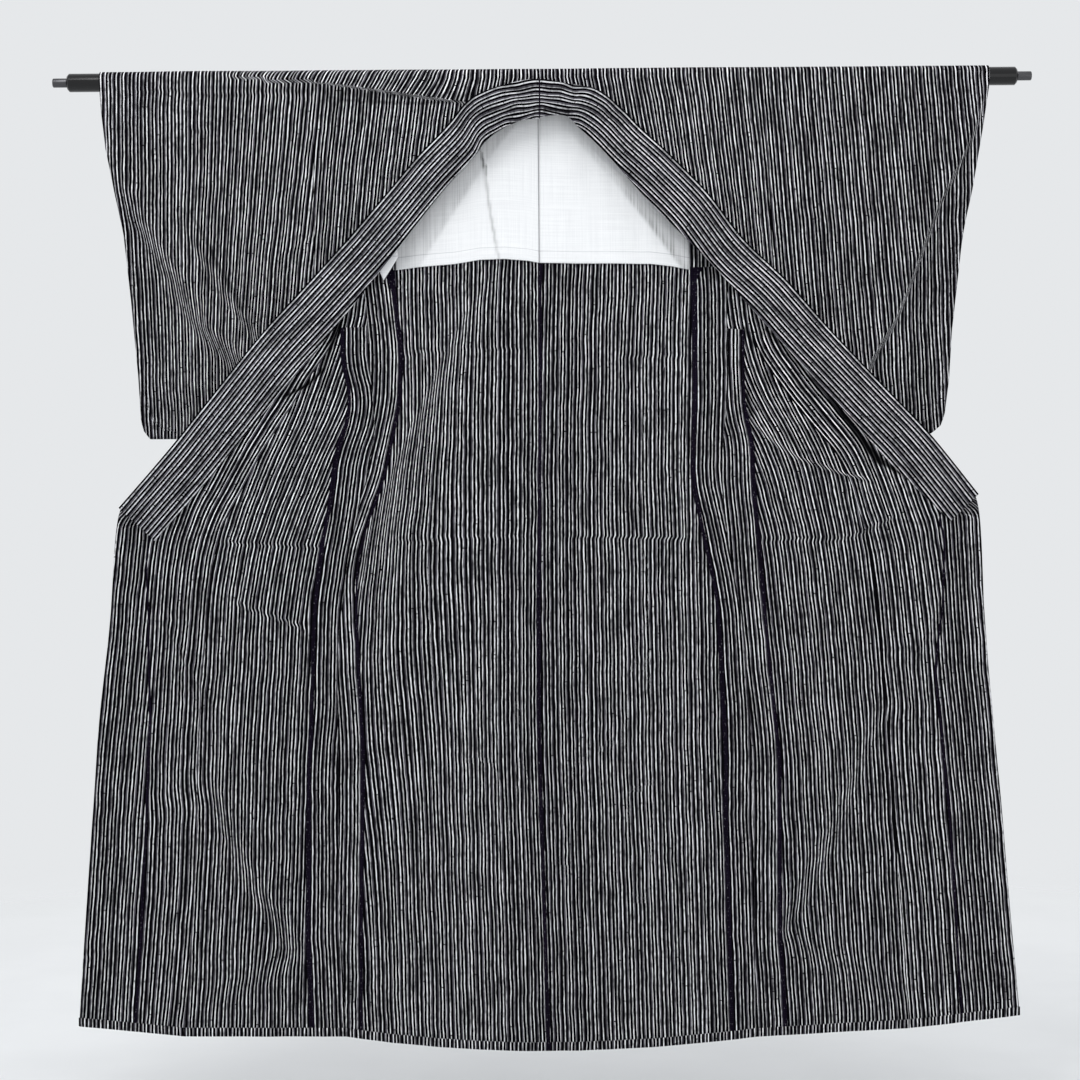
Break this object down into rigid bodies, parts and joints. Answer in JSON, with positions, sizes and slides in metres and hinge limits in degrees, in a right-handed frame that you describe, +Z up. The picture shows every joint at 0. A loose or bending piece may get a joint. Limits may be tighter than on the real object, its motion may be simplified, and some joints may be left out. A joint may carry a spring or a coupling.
{
  "type": "kimono on a hanging rod",
  "caption": "Unlined striped kimono, opened out and hung over a black round rod, with wide sleeves, a long collar band and a white yoke lining.",
  "frame": {"origin": "middle of the rod's axis, where the garment is held up", "axes": "+X along the rod to the right as seen from the opened front, +Z up, -Y towards the viewer of the opened front"},
  "size_m": [1.4676, 0.0524, 1.4703],
  "materials": {
    "striped_cotton": "matt slubby cotton, black with white and grey warp stripes",
    "collar_cotton": "the same striped cotton, its stripes along the band",
    "white_lining": "thin bleached cotton",
    "turned_edge_cotton": "the striped cotton turned in, with a dark purple-black selvage",
    "black_lacquer": "glossy black lacquer",
    "pin_steel": "dull grey steel"
  },
  "bodies": {
    "root": {"back_allowance_left": "turned_edge_cotton", "back_allowance_right": "turned_edge_cotton", "back_left": "striped_cotton", "back_right": "striped_cotton", "collar_left": "collar_cotton", "collar_right": "collar_cotton", "edge_turning_left": "turned_edge_cotton", "edge_turning_right": "turned_edge_cotton", "front_allowance_left": "turned_edge_cotton", "front_allowance_right": "turned_edge_cotton", "front_left": "striped_cotton", "front_right": "striped_cotton", "front_shoulder_left": "striped_cotton", "front_shoulder_right": "striped_cotton", "lining_left": "white_lining", "lining_right": "white_lining", "okumi_left": "striped_cotton", "okumi_right": "striped_cotton", "rod": "black_lacquer", "rod_pin_left": "pin_steel", "rod_pin_right": "pin_steel", "sleeve_left": "striped_cotton", "sleeve_right": "striped_cotton"}
  },
  "joints": []
}
